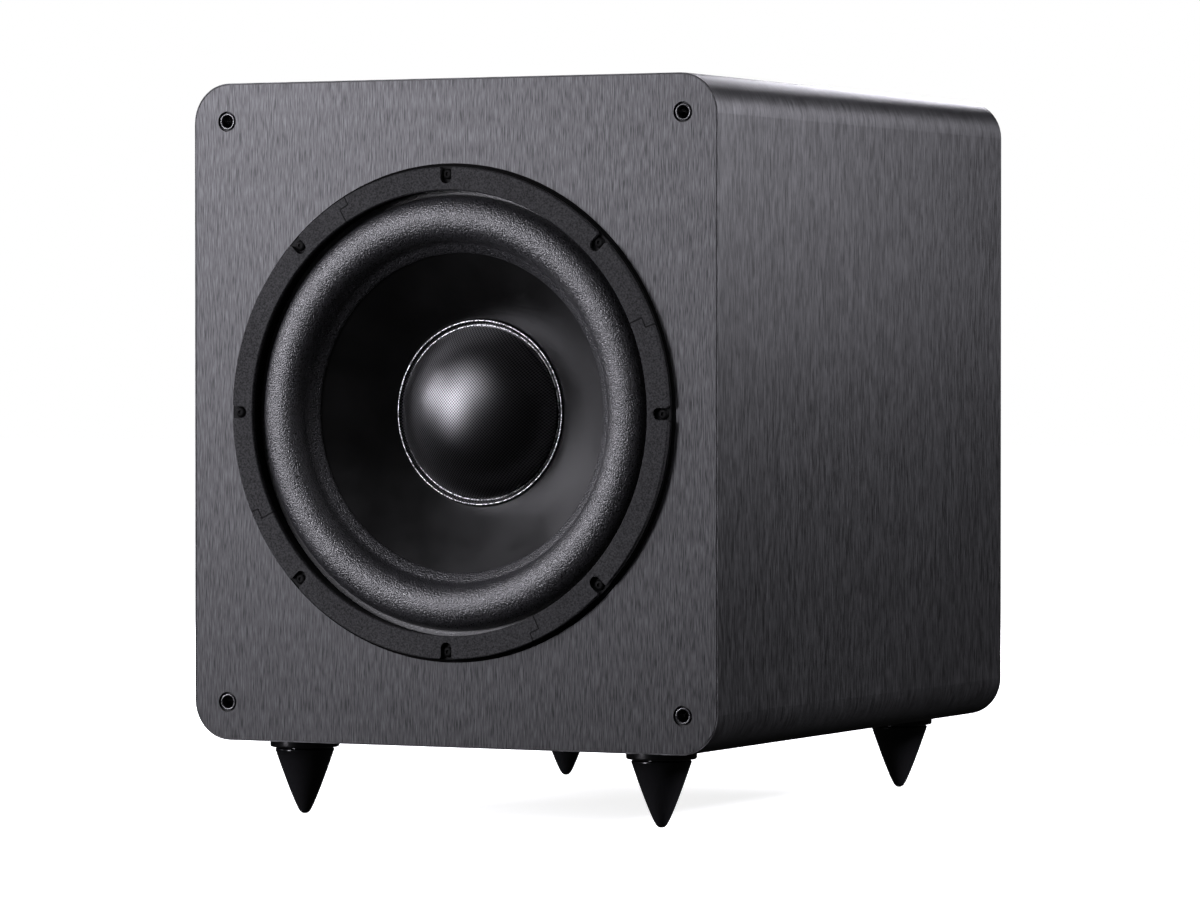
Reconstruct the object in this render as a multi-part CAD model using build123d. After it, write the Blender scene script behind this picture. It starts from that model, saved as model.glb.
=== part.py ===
from build123d import *
import math
import os

# Powered subwoofer: a sealed MDF cabinet on four spiked feet, one long-throw driver in the front
# baffle and a plate amplifier in the back panel. Millimetres. +X right, +Y back, +Z up; the spike
# tips stand on Z = 0 and the overall box is centred on X and Y.
# A "depth" is the distance behind the front face of the cabinet, positive towards the back.

# ------------------------------------------------------------------ driving dimensions
CABINET_W = 366.0
CABINET_H = 415.0
CABINET_D = 451.0
CORNER_R = 25.0
FOOT_H = 48.0

WRAP_T = 0.5            # vinyl foil round the cabinet and on its front
SEAM_GAP = 0.5          # open line between the front foil and the wrap
BOARD_T = 18.0
BAFFLE_T = 22.0
REAR_REACH = 17.0       # how far the knobs stand out behind the back panel
TRIM_PROUD = 6.0        # how far the driver's trim ring stands in front of the cabinet

FRONT_Y = -(CABINET_D + REAR_REACH - TRIM_PROUD) / 2
MID_Z = FOOT_H + CABINET_H / 2

# feet
FOOT_X = 126.0
FOOT_DEPTHS = (40.0, CABINET_D - 41.0)
FOOT_FLANGE_R = 22.0
FOOT_FLANGE_T = 5.5
FOOT_BARREL_R = 6.0
FOOT_BARREL_L = 16.0
STUD_R = 4.0
STUD_PLAY = 0.05
STUD_TOP_Z = 61.0
SPIKE_R = 18.7
SPIKE_TOP_Z = 41.6
SPIKE_NECK_R = 13.0
TIP_FLAT_R = 1.2
TIP_R = 3.3

# sockets for the pegs of a grille
SOCKET_X = 159.5
SOCKET_Z = 183.5
SOCKET_BORE_R = 3.9
SOCKET_BARREL_R = 5.2
SOCKET_LIP = 0.3         # depth of the rounded lip's front
SOCKET_LIP_BACK = 0.95   # depth where the lip runs into the straight bore
SOCKET_L = 17.0
GROOVE_R = 6.4           # open groove round each socket
GROOVE_BACK = 2.0

# driver, as (radius, depth)
CUTOUT_R = 141.5
TRIM_OUT_R = 152.5
TRIM_IN_R = 138.0
TRIM_EDGE_R = 0.8
TRIM_BEVEL = 0.6
FLANGE_R = 153.1
GASKET_R = 154.0
FLANGE_FRONT = -2.6
FLANGE_BACK = -0.8
BOLT_R = 148.0
BOLT_COUNT = 8
PILOT_R = 2.45
NOTCH_W = 7.6
NOTCH_END_R = 142.0
NOTCH_FLARE = 1.4
HEAD_R = 3.4
HEAD_T = 1.5
SCREW_R = 2.4
SEAM_ANGLES = (22.3, 119.3, 205.7, 294.7)
SEAM_R = 147.0
SEAM_HALF_STEP = 1.27   # degrees
SEAM_OPEN = 0.2
SEAT_DEPTH = 8.6
ROLL_OUT_R = 135.0
ROLL_IN_R = 106.5
ROLL_R = (ROLL_OUT_R + ROLL_IN_R) / 2
SURROUND_R = 139.1
ROLL_TOP = -5.2
RUBBER_T = 1.2
BAND_IN_R = 99.5
CONE_R = 106.2
CONE_FRONT = 9.5
CONE_SLOPE = 0.642
CONE_T = 1.4
FORMER_OUT_R = 25.9
FORMER_IN_R = 25.3
CAP_BALL_R = 71.9
CAP_TOP = 14.0
CAP_T = 0.8
CAP_EDGE_R = 53.9
CAP_LIP_FRONT = 39.3
CAP_LIP_R = 58.0
BEAD_R = 0.5
BEAD_RADII = (54.6, 57.4)
SPIDER_DEPTH = 90.4
TOP_PLATE_FRONT = 114.0
MAGNET_R = 78.0
MAGNET_IN_R = 36.0
POLE_GAP_R = 27.8
YOKE_R = 70.0
YOKE_T = 10.0
BOOT_T = 2.0
MAGNET_FRONT = 124.0
MAGNET_T = 20.0
GLUE = 0.05             # glue line between pieces that are bonded on a curved face

# plate amplifier
PLATE_W = 250.0
PLATE_H = 300.0
PLATE_FRONT = CABINET_D + 1.0
PLATE_T = 3.0
PLATE_BACK = PLATE_FRONT + PLATE_T
AMP_CUTOUT_W = 214.0
AMP_CUTOUT_H = 264.0
CONTROL_Z = 113.0
VOLUME_X = 62.0
CROSSOVER_X = 12.0
PHASE_X = -38.0
MODE_X = -72.0
LED_X = -98.0
JACK_Z = 68.0
JACK_XS = (72.0, 50.0, 8.0, -14.0)
INLET_X = -78.0
INLET_Z = -104.0
ROCKER_X = -36.0
ROCKER_Z = -104.0
TOROID_X = 50.0
TOROID_Z = -78.0
BOARD_DEPTH = 418.0
BOARD_SHEET = 1.6
CONTROL_BOARD_BACK = 439.6
TAG_X = 10.0
TINSEL_R = 0.8
LEAD_R = 1.6
PLATE_SCREW_R = 1.7
PLATE_HOLE_R = 2.2
POT_BUSH_R = 4.5
SWITCH_SLOT = (9.6, 4.6)
PHONO_R = 4.15
LED_R = 1.5
SPINDLE_R = 3.0
SPINDLE_FRONT = 446.0

os.makedirs("parts", exist_ok=True)


# ------------------------------------------------------------------ helpers
def save(node, *solids):
    """Writes one node; several solids stay separate pieces of it."""
    pieces = [piece for shape in solids for piece in shape.solids()]
    export_step(Compound(pieces) if len(pieces) > 1 else pieces[0], f"parts/{node}.step")


def slab(outline, front, back):
    """Plate with an outline drawn as seen from the front, between two depths."""
    plane = Plane(origin=(0, FRONT_Y + back, MID_Z), x_dir=(1, 0, 0), z_dir=(0, -1, 0))
    return extrude(plane * outline, amount=back - front)


def rod(radius, x, z, front, back):
    """Round bar along the depth."""
    return slab(Pos(x, z) * Circle(radius), front, back)


def block(width, height, x, z, front, back):
    """Rectangular block along the depth."""
    return slab(Pos(x, z) * Rectangle(width, height), front, back)


def tube(r_in, r_out, front, back):
    """Ring about the driver's axis."""
    return slab(Circle(r_out) - Circle(r_in), front, back)


def turned(face, x=0.0, z=0.0):
    """Solid of revolution about a line along the depth, from a profile of (radius, depth)."""
    return Pos(x, FRONT_Y, MID_Z + z) * revolve(face, Axis.Y)


def outline(*points):
    """Flat face inside a closed run of straight lines."""
    return make_face(Polyline(*points, close=True))


def polar(radius, degrees):
    """Point on a circle about the driver's axis, as seen from the front."""
    return (radius * math.cos(math.radians(degrees)), radius * math.sin(math.radians(degrees)))


def bolt_angles():
    """Angles of the driver's fixing screws, starting at the top."""
    return [90 + 360 / BOLT_COUNT * k for k in range(BOLT_COUNT)]


def grille_corners():
    """Centres of the four grille sockets, as seen from the front."""
    return [(sx * SOCKET_X, sz * SOCKET_Z) for sx in (-1, 1) for sz in (-1, 1)]


def foot_places():
    """Name, x and depth of each foot."""
    sides = (("left", -FOOT_X), ("right", FOOT_X))
    rows = zip(("front", "rear"), FOOT_DEPTHS)
    return [(f"{row}_{side}", x, depth) for row, depth in rows for side, x in sides]


def lead(points, radius):
    """Insulated lead: straight runs joined by arcs as large as the runs allow."""
    corners = [Vector(x, FRONT_Y + depth, MID_Z + z) for x, depth, z in points]
    radii = []
    for before, here, after in zip(corners, corners[1:], corners[2:]):
        run = min((here - before).length, (after - here).length)
        turn = math.radians((here - before).get_angle(after - here))
        radii.append(0.45 * run / math.tan(turn / 2))
    path = FilletPolyline(*corners, radius=radii)
    section = Plane(origin=corners[0], z_dir=corners[1] - corners[0]) * Circle(radius)
    return sweep(section, path=path)


# ------------------------------------------------------------------ cabinet
def cabinet_outline(inset):
    """Cabinet's rounded front outline, moved inwards."""
    return RectangleRounded(CABINET_W - 2 * inset, CABINET_H - 2 * inset, CORNER_R - inset)


def foot_holes():
    """Bores for the barrels of the feet, through the wrap and into the bottom board."""
    bore = Cylinder(FOOT_BARREL_R + GLUE, FOOT_BARREL_L + 2, align=(Align.CENTER, Align.CENTER, Align.MIN))
    return [Pos(x, FRONT_Y + depth, FOOT_H - 1) * bore for _, x, depth in foot_places()]


def make_panels():
    """Top, bottom, left and right boards, mitred into each other."""
    out_x = CABINET_W / 2 - WRAP_T
    out_z = CABINET_H / 2 - WRAP_T
    in_x = out_x - BOARD_T
    in_z = out_z - BOARD_T
    wedges = {
        "top_panel": outline((-out_x, out_z), (out_x, out_z), (in_x, in_z), (-in_x, in_z)),
        "bottom_panel": outline((-out_x, -out_z), (out_x, -out_z), (in_x, -in_z), (-in_x, -in_z)),
        "left_panel": outline((-out_x, out_z), (-out_x, -out_z), (-in_x, -in_z), (-in_x, in_z)),
        "right_panel": outline((out_x, out_z), (out_x, -out_z), (in_x, -in_z), (in_x, in_z)),
    }
    front = WRAP_T + BAFFLE_T
    back = CABINET_D - BOARD_T
    for node, wedge in wedges.items():
        panel = slab(cabinet_outline(WRAP_T) & wedge, front, back)
        if node == "bottom_panel":
            for hole in foot_holes():
                panel -= hole
        save(node, panel)


def make_baffle():
    """Front board with the driver cut-out, screw pilots and grille socket holes."""
    face = cabinet_outline(WRAP_T) - Circle(CUTOUT_R)
    baffle = slab(face, WRAP_T, WRAP_T + BAFFLE_T)
    for angle in bolt_angles():
        baffle -= rod(PILOT_R, *polar(BOLT_R, angle), WRAP_T, 20.0)
    for x, z in grille_corners():
        baffle -= rod(SOCKET_BARREL_R + GLUE, x, z, WRAP_T, SOCKET_L + 0.5)
        baffle -= rod(GROOVE_R, x, z, WRAP_T, GROOVE_BACK)
    save("front_baffle", baffle)


def plate_screw_places():
    """Centres of the amplifier plate's screws."""
    sides = [(sx * 117.0, z) for sx in (-1, 1) for z in (-141.0, -70.0, 0.0, 70.0, 141.0)]
    return sides + [(0.0, -141.0), (0.0, 141.0)]


def make_back_panel():
    """Back board with the amplifier cut-out."""
    face = cabinet_outline(WRAP_T) - Rectangle(AMP_CUTOUT_W, AMP_CUTOUT_H)
    panel = slab(face, CABINET_D - BOARD_T, CABINET_D)
    for x, z in plate_screw_places():
        panel -= rod(1.75, x, z, CABINET_D - 16.0, CABINET_D)
    save("back_panel", panel)


def make_skins():
    """Foil wrapped round the four sides, and the foil on the front, which stops just short of it."""
    wrap = slab(cabinet_outline(0) - cabinet_outline(WRAP_T), 0, CABINET_D)
    for hole in foot_holes():
        wrap -= hole
    save("side_wrap", wrap)
    face = cabinet_outline(WRAP_T + SEAM_GAP) - Circle(CUTOUT_R)
    skin = slab(face, 0, WRAP_T)
    for x, z in grille_corners():
        skin -= rod(GROOVE_R, x, z, 0, WRAP_T)
    for angle in bolt_angles():
        skin -= rod(PILOT_R, *polar(BOLT_R, angle), 0, WRAP_T)
    save("front_skin", skin)


def make_braces():
    """Upright and crosspiece, half-lapped where they cross."""
    front, back, width = 232.0, 258.0, 40.0
    middle = (front + back) / 2
    tall = CABINET_H - 2 * (WRAP_T + BOARD_T)
    wide = CABINET_W - 2 * (WRAP_T + BOARD_T)
    upright = block(width, tall, 0, 0, front, back)
    crosspiece = block(wide, width, 0, 0, front, back)
    save("brace_upright", upright - block(width, width, 0, 0, middle, back))
    save("brace_crosspiece", crosspiece - block(width, width, 0, 0, front, middle))


def make_wadding():
    """Damping pads on the inner side walls, in front of the brace and behind it."""
    pads = []
    inner = CABINET_W / 2 - WRAP_T - BOARD_T
    for sx in (-1, 1):
        for front, back in ((40.0, 225.0), (265.0, 370.0)):
            pads.append(block(24.0, 300.0, sx * (inner - 12.5), 0, front, back))
    save("wadding", *pads)


# ------------------------------------------------------------------ feet
def make_feet():
    """Flanged threaded sockets in the bottom board, and one spike with its stud in each."""
    low = FOOT_H - FOOT_FLANGE_T
    top = FOOT_H + FOOT_BARREL_L
    bore = STUD_R + STUD_PLAY
    section = outline((bore, low), (FOOT_FLANGE_R - 1, low), (FOOT_FLANGE_R, low + 1),
                      (FOOT_FLANGE_R, FOOT_H),
                      (FOOT_BARREL_R, FOOT_H), (FOOT_BARREL_R, top), (0, top), (0, top - 1), (bore, top - 1))
    socket = revolve(Plane.XZ * section, Axis.Z)
    spike = make_spike()
    for name, x, depth in foot_places():
        save(f"spike_{name}", Pos(x, FRONT_Y + depth, 0) * spike)
    save("foot_sockets", *[Pos(x, FRONT_Y + depth, 0) * socket for _, x, depth in foot_places()])


def make_spike():
    """Cone with a blunt tip, a neck under the flange and a threaded stud."""
    neck_top = FOOT_H - FOOT_FLANGE_T - 0.1
    rim = 0.4
    shoulder = SPIKE_TOP_Z - 1.2
    tip_top = 1.9
    tip = ThreePointArc((TIP_FLAT_R, 0), (2.55, 0.6), (TIP_R, tip_top))
    side = Polyline((TIP_R, tip_top), (SPIKE_R, shoulder), (SPIKE_R, SPIKE_TOP_Z - rim),
                    (SPIKE_R - rim, SPIKE_TOP_Z),
                    (SPIKE_NECK_R, SPIKE_TOP_Z), (SPIKE_NECK_R, neck_top), (STUD_R, neck_top),
                    (STUD_R, STUD_TOP_Z - 1), (STUD_R - 1, STUD_TOP_Z), (0, STUD_TOP_Z), (0, 0),
                    (TIP_FLAT_R, 0))
    return revolve(Plane.XZ * make_face(tip + side), Axis.Z)


# ------------------------------------------------------------------ grille sockets
def make_grille_sockets():
    """Plastic cups with a rounded lip, each in an open groove, that a grille's pegs push into."""
    middle = (SOCKET_BORE_R + SOCKET_BARREL_R) / 2
    lip = ThreePointArc((SOCKET_BORE_R, SOCKET_LIP_BACK), (middle, SOCKET_LIP),
                        (SOCKET_BARREL_R, SOCKET_LIP_BACK))
    floor_front = SOCKET_L - 1
    rest = Polyline((SOCKET_BARREL_R, SOCKET_LIP_BACK), (SOCKET_BARREL_R, SOCKET_L), (0, SOCKET_L),
                    (0, floor_front), (SOCKET_BORE_R, floor_front), (SOCKET_BORE_R, SOCKET_LIP_BACK))
    section = make_face(lip + rest)
    save("grille_sockets", *[turned(section, x, z) for x, z in grille_corners()])


# ------------------------------------------------------------------ driver: fixed pieces
def trim_section():
    """Profile of the trim ring: rounded outside, a fine bevel inside."""
    front = -TRIM_PROUD
    round_off = TRIM_EDGE_R * (1 - math.sqrt(0.5))
    edge = ThreePointArc((TRIM_OUT_R - TRIM_EDGE_R, front), (TRIM_OUT_R - round_off, front + round_off),
                         (TRIM_OUT_R, front + TRIM_EDGE_R))
    rest = Polyline((TRIM_OUT_R, front + TRIM_EDGE_R), (TRIM_OUT_R, FLANGE_FRONT), (TRIM_IN_R, FLANGE_FRONT),
                    (TRIM_IN_R, front + TRIM_BEVEL), (TRIM_IN_R + TRIM_BEVEL, front),
                    (TRIM_OUT_R - TRIM_EDGE_R, front))
    return make_face(edge + rest)


def notch_shape():
    """Slot with a round inner end that opens a little at the ring's edge, drawn at angle zero."""
    half = NOTCH_W / 2
    end = NOTCH_END_R + half
    reach = TRIM_OUT_R + 2
    mouth = TRIM_OUT_R - NOTCH_FLARE
    flare = outline((mouth, half), (mouth, -half), (TRIM_OUT_R, -half - NOTCH_FLARE),
                    (reach, -half - NOTCH_FLARE),
                    (reach, half + NOTCH_FLARE), (TRIM_OUT_R, half + NOTCH_FLARE))
    slot = Pos(end, 0) * Circle(half) + Pos((end + reach) / 2, 0) * Rectangle(reach - end, NOTCH_W)
    return slot + flare


def make_trim():
    """Rubber trim ring in four pieces with stepped joints, notched round each screw."""
    ring = turned(trim_section())
    for angle in bolt_angles():
        ring -= slab(Rot(0, 0, angle) * notch_shape(), -TRIM_PROUD - 1, FLANGE_FRONT)
    for number, start in enumerate(SEAM_ANGLES):
        stop = SEAM_ANGLES[(number + 1) % len(SEAM_ANGLES)]
        stop += 360 if stop < start else 0
        piece = ring & slab(trim_footprint(start, stop), -TRIM_PROUD - 1, FLANGE_FRONT)
        save(f"trim_segment_{number + 1}", piece)


def sector(r_in, r_out, start, stop):
    """Flat piece of a ring between two angles."""
    middle = (start + stop) / 2
    outer = ThreePointArc(polar(r_out, start), polar(r_out, middle), polar(r_out, stop))
    inner = ThreePointArc(polar(r_in, stop), polar(r_in, middle), polar(r_in, start))
    return make_face(outer + Line(outer @ 1, inner @ 0) + inner + Line(inner @ 1, outer @ 0))


def trim_footprint(start, stop):
    """One quarter of the trim ring: an outer tongue leads and an inner tongue trails."""
    gap = math.degrees(SEAM_OPEN / 2 / SEAM_R)
    step = SEAM_HALF_STEP
    low, high = TRIM_IN_R - 1, TRIM_OUT_R + 1
    body = sector(low, high, start + step + gap, stop - step - gap)
    outer = sector(SEAM_R + SEAM_OPEN / 2, high, start - step + gap, start + step + 2 * gap)
    inner = sector(low, SEAM_R - SEAM_OPEN / 2, stop - step - 2 * gap, stop + step - gap)
    return body + outer + inner


def make_screws():
    """Low button-head screws that hold the driver, each with a hexagon socket."""
    tip = 19.0
    point = 1.2
    hexagon_r = 1.4
    crown_r = HEAD_R / 2
    top = FLANGE_FRONT - HEAD_T
    shoulder = FLANGE_FRONT - 0.3
    dome = ThreePointArc((crown_r, top), (HEAD_R * 0.84, top + HEAD_T * 0.3), (HEAD_R, shoulder))
    rest = Polyline((HEAD_R, shoulder), (HEAD_R, FLANGE_FRONT), (SCREW_R, FLANGE_FRONT), (SCREW_R, tip - 2),
                    (point, tip), (0, tip), (0, top), (crown_r, top))
    section = make_face(dome + rest)
    screws = []
    for angle in bolt_angles():
        x, z = polar(BOLT_R, angle)
        hexagon = slab(Pos(x, z) * RegularPolygon(hexagon_r, 6), top - 1, top + 1)
        screws.append(turned(section, x, z) - hexagon)
    save("driver_screws", *screws)


def make_basket():
    """Pressed frame: flange, stepped seat for the surround, windowed legs, spider shelf and floor."""
    sheet_r = 1.8            # thickness of the wall between the flange and the seat
    wall_r = SURROUND_R + 0.1
    rim = 0.4
    seat_back = SEAT_DEPTH + 2.2
    seat_in_r = 131.0
    leg_r = 85.4             # outside of the legs where they reach the spider shelf
    shelf_front = SPIDER_DEPTH + 0.6
    shelf_back = shelf_front + 2
    cup_r = 72.0
    floor_front = TOP_PLATE_FRONT - 2
    section = outline((wall_r, FLANGE_FRONT), (FLANGE_R - rim, FLANGE_FRONT), (FLANGE_R, FLANGE_FRONT + rim),
                      (FLANGE_R, FLANGE_BACK), (wall_r + sheet_r, FLANGE_BACK),
                      (wall_r + sheet_r, seat_back),
                      (seat_in_r + 3.2, seat_back), (leg_r, 85.5), (leg_r, shelf_back), (cup_r, shelf_back),
                      (cup_r, TOP_PLATE_FRONT), (28.2, TOP_PLATE_FRONT), (28.2, floor_front),
                      (cup_r - 2, floor_front),
                      (cup_r - 2, shelf_front), (leg_r - 2, shelf_front), (leg_r - 2, 84.5),
                      (seat_in_r, seat_back - 0.6), (seat_in_r, SEAT_DEPTH), (wall_r, SEAT_DEPTH))
    basket = turned(section)
    window = Pos(110, 0) * Rectangle(80, 54)
    vent = Cylinder(4.5, 160)
    for k in range(8):
        basket -= slab(Rot(0, 0, 45 * k - 90) * window, 20.0, 79.0)
        place = Pos(0, FRONT_Y + 103.0, MID_Z) * Rot(0, 45 * k, 0)
        basket -= (place * vent) & tube(60, 80, 95, 111)
    for angle in bolt_angles():
        basket -= rod(SCREW_R + 0.3, *polar(BOLT_R, angle), FLANGE_FRONT, FLANGE_BACK)
    save("basket", basket)


def make_driver_gasket():
    """Foam ring squeezed between the basket flange and the front of the cabinet."""
    gasket = tube(CUTOUT_R, GASKET_R, FLANGE_BACK, 0)
    for angle in bolt_angles():
        gasket -= rod(SCREW_R + 0.3, *polar(BOLT_R, angle), FLANGE_BACK, 0)
    save("driver_gasket", gasket)


def make_magnet_system():
    """Top plate, two ferrite rings, yoke with a vented pole, and the rubber boot over them."""
    magnet_back = MAGNET_FRONT + 2 * MAGNET_T
    pole_front = TOP_PLATE_FRONT - 2
    pole_r = 24.8
    vent_r = 12.0
    save("top_plate", tube(POLE_GAP_R, YOKE_R, TOP_PLATE_FRONT, MAGNET_FRONT))
    fronts = (MAGNET_FRONT, MAGNET_FRONT + MAGNET_T)
    save("magnet", *[tube(MAGNET_IN_R, MAGNET_R, front, front + MAGNET_T) for front in fronts])
    yoke_back = magnet_back + YOKE_T
    yoke = outline((vent_r, pole_front), (pole_r - 0.8, pole_front), (pole_r, pole_front + 0.8),
                   (pole_r, magnet_back),
                   (YOKE_R, magnet_back), (YOKE_R, yoke_back - 2), (YOKE_R - 2, yoke_back),
                   (vent_r, yoke_back))
    save("pole_yoke", turned(yoke))
    inside_r = MAGNET_R + 0.4
    outside_r = inside_r + BOOT_T
    mouth_r = 20.0
    boot = outline((inside_r, MAGNET_FRONT - 1), (outside_r, MAGNET_FRONT - 1), (outside_r, yoke_back + 0.6),
                   (outside_r - 1.4, yoke_back + BOOT_T), (mouth_r, yoke_back + BOOT_T),
                   (mouth_r, yoke_back),
                   (inside_r, yoke_back))
    save("magnet_boot", turned(boot))


def make_terminal_strip():
    """Insulating strip under the basket shelf with two solder tags."""
    strip = block(40, 20, 0, -97.5, 80.0, 82.4) - tube(0.001, 89.6, 79, 83)
    tags = [block(6, 14, sx * TAG_X, -106.0, 82.4, 83.2) for sx in (-1, 1)]
    save("terminal_strip", strip, *tags)


# ------------------------------------------------------------------ driver: moving and flexing pieces
def make_surround():
    """Half-roll rubber edge with an outer flange on the seat and an inner band on the cone."""
    flange_back = SEAT_DEPTH - GLUE
    flange_front = flange_back - RUBBER_T
    band_front = CONE_FRONT - GLUE - RUBBER_T - 0.2
    band_end = band_front + (ROLL_IN_R - BAND_IN_R) * CONE_SLOPE
    toe = (ROLL_IN_R + RUBBER_T, band_front + 0.4)
    heel = (ROLL_OUT_R - RUBBER_T, flange_back)
    outside = ThreePointArc((ROLL_OUT_R, flange_front), (ROLL_R, ROLL_TOP), (ROLL_IN_R, band_front))
    inside = ThreePointArc(toe, (ROLL_R, ROLL_TOP + RUBBER_T), heel)
    band = Polyline((ROLL_IN_R, band_front), (BAND_IN_R, band_end), (BAND_IN_R, band_end + RUBBER_T),
                    (ROLL_IN_R, band_front + RUBBER_T), toe)
    flange = Polyline(heel, (SURROUND_R, flange_back), (SURROUND_R, flange_front),
                      (ROLL_OUT_R, flange_front))
    save("surround", turned(make_face(outside + band + inside + flange)))


def cone_front(radius):
    """Depth of the cone's front face at a radius."""
    return CONE_FRONT + (CONE_R - radius) * CONE_SLOPE


def make_cone():
    """Straight-sided cone with a short neck glued on the voice-coil former."""
    neck = FORMER_OUT_R + GLUE
    section = outline((CONE_R, CONE_FRONT), (neck, cone_front(neck)), (neck, cone_front(neck) + 5),
                      (neck + CONE_T, cone_front(neck) + 5),
                      (neck + CONE_T, cone_front(neck + CONE_T) + 1.7),
                      (CONE_R, CONE_FRONT + 1.7))
    save("cone", turned(section))


def cap_depth(radius, ball_r=CAP_BALL_R):
    """Depth of the dust cap at a radius, on its front ball or on a smaller one about the same centre."""
    return CAP_TOP + CAP_BALL_R - math.sqrt(ball_r ** 2 - radius ** 2)


def make_dust_cap():
    """Domed cloth cap with a flat lip, and the two bright rings that edge it."""
    edge = CAP_EDGE_R
    inner = edge - CAP_T
    ball = CAP_BALL_R - CAP_T
    front = ThreePointArc((0, CAP_TOP), (edge / 2, cap_depth(edge / 2)), (edge, cap_depth(edge)))
    back = ThreePointArc((inner, cap_depth(inner, ball)), (edge / 2, cap_depth(edge / 2, ball)),
                         (0, CAP_TOP + CAP_T))
    lip_back = CAP_LIP_FRONT + 0.6
    lip = Polyline((edge, cap_depth(edge)), (edge, CAP_LIP_FRONT), (CAP_LIP_R, CAP_LIP_FRONT),
                   (CAP_LIP_R, lip_back),
                   (inner, lip_back), (inner, cap_depth(inner, ball)))
    axis = Line((0, CAP_TOP + CAP_T), (0, CAP_TOP))
    save("dust_cap", turned(make_face(front + lip + back + axis)))
    bead = Circle(BEAD_R)
    rings = [turned(Pos(radius, CAP_LIP_FRONT - BEAD_R - GLUE) * bead) for radius in BEAD_RADII]
    save("cap_trim_rings", *rings)


def make_spider():
    """Corrugated centring disc between the former and the basket shelf."""
    thickness, swing, half_wave = 0.5, 2.0, 4.5
    first, last, rim = 31.0, 67.0, 82.5
    waves = int(round((last - first) / half_wave))
    front = [Line((FORMER_OUT_R + GLUE, SPIDER_DEPTH), (first, SPIDER_DEPTH))]
    back = [Line((first, SPIDER_DEPTH + thickness), (FORMER_OUT_R + GLUE, SPIDER_DEPTH + thickness))]
    for k in range(waves):
        near = first + k * half_wave
        far = near + half_wave
        peak = swing if k % 2 else -swing
        top = ThreePointArc((near, SPIDER_DEPTH), ((near + far) / 2, SPIDER_DEPTH + peak),
                            (far, SPIDER_DEPTH))
        front.append(top)
        back.append(Pos(0, thickness) * top)
    front.append(Line((last, SPIDER_DEPTH), (rim, SPIDER_DEPTH)))
    back.append(Line((rim, SPIDER_DEPTH + thickness), (last, SPIDER_DEPTH + thickness)))
    ends = [Line((r, SPIDER_DEPTH), (r, SPIDER_DEPTH + thickness)) for r in (FORMER_OUT_R + GLUE, rim)]
    save("spider", turned(make_face(front + back + ends)))


def make_voice_coil():
    """Former tube and its winding."""
    save("coil_former", tube(FORMER_IN_R, FORMER_OUT_R, 57.0, 137.0))
    save("coil_winding", tube(FORMER_OUT_R + GLUE, 27.1, 104.0, 134.0))


def make_leads():
    """Flexible tinsel leads from the strip to the cone, and the pair from the strip to the amplifier."""
    tinsel_route = ((79.9, -97), (66, -97), (57, -78), (63, -60), (54.2, -46))
    tinsel = [lead([(x, depth, z) for depth, z in tinsel_route], TINSEL_R) for x in (-TAG_X, TAG_X)]
    save("tinsel_leads", *tinsel)
    right = [(TAG_X, 83.3, -110), (TAG_X, 113, -110), (32, 150, -134), (44, 190, -170), (44, 236, -184),
             (44, 290, -185), (44, 340, -178), (44, 380, -146), (44, 392, -96), (44, 390, -44), (44, 397, 2),
             (44, BOARD_DEPTH - GLUE, 2)]
    left = [(-TAG_X, 83.3, -110), (-TAG_X, 111, -110), (20, 148, -142), (34, 190, -172), (34, 236, -185),
            (34, 290, -186), (34, 340, -179), (34, 380, -147), (34, 392, -97), (34, 390, -45), (34, 397, 1),
            (34, BOARD_DEPTH - GLUE, 1)]
    save("driver_leads", lead(right, LEAD_R), lead(left, LEAD_R))


# ------------------------------------------------------------------ plate amplifier
def make_plate():
    """Steel back plate with holes for everything that shows through it, its foam seal and screws."""
    depths = (PLATE_FRONT, PLATE_BACK)
    plate = slab(RectangleRounded(PLATE_W, PLATE_H, 6), *depths)
    holes = [rod(POT_BUSH_R + 0.1, x, CONTROL_Z, *depths) for x in (VOLUME_X, CROSSOVER_X)]
    holes += [block(*SWITCH_SLOT, x, CONTROL_Z, *depths) for x in (PHASE_X, MODE_X)]
    holes += [rod(PHONO_R + 0.15, x, JACK_Z, *depths) for x in JACK_XS]
    holes.append(rod(LED_R + 0.1, LED_X, CONTROL_Z, *depths))
    holes.append(block(27.4, 34.4, INLET_X, INLET_Z, *depths))
    holes.append(block(15.0, 22.0, ROCKER_X, ROCKER_Z, *depths))
    holes += [rod(PLATE_HOLE_R, x, z, *depths) for x, z in plate_screw_places()]
    for hole in holes:
        plate -= hole
    back_edges = plate.faces().sort_by(Axis.Y)[-1].outer_wire().edges()
    save("amp_plate", chamfer(back_edges, 0.8))
    frame = RectangleRounded(PLATE_W - 2, PLATE_H - 2, 5) - Rectangle(AMP_CUTOUT_W, AMP_CUTOUT_H)
    gasket = slab(frame, CABINET_D, PLATE_FRONT)
    for x, z in plate_screw_places():
        gasket -= rod(PLATE_HOLE_R, x, z, CABINET_D, PLATE_FRONT)
    save("amp_gasket", gasket)
    save("amp_screws", *[make_plate_screw(x, z) for x, z in plate_screw_places()])


def make_plate_screw(x, z):
    """Pan-head screw with a cross recess, driven from behind."""
    top = PLATE_BACK + 2.3
    head_r = 3.7
    crown_r = 1.8
    tip = CABINET_D - 15.0
    dome = ThreePointArc((head_r, PLATE_BACK), (head_r - 0.5, top - 0.6), (crown_r, top))
    rest = Polyline((crown_r, top), (0, top), (0, tip), (1.0, tip + 1), (PLATE_SCREW_R, tip + 3),
                    (PLATE_SCREW_R, PLATE_BACK), (head_r, PLATE_BACK))
    cross = Rectangle(3.4, 0.7) + Rectangle(0.7, 3.4)
    return turned(make_face(dome + rest), x, z) - slab(Pos(x, z) * cross, top - 1.2, top)


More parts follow.
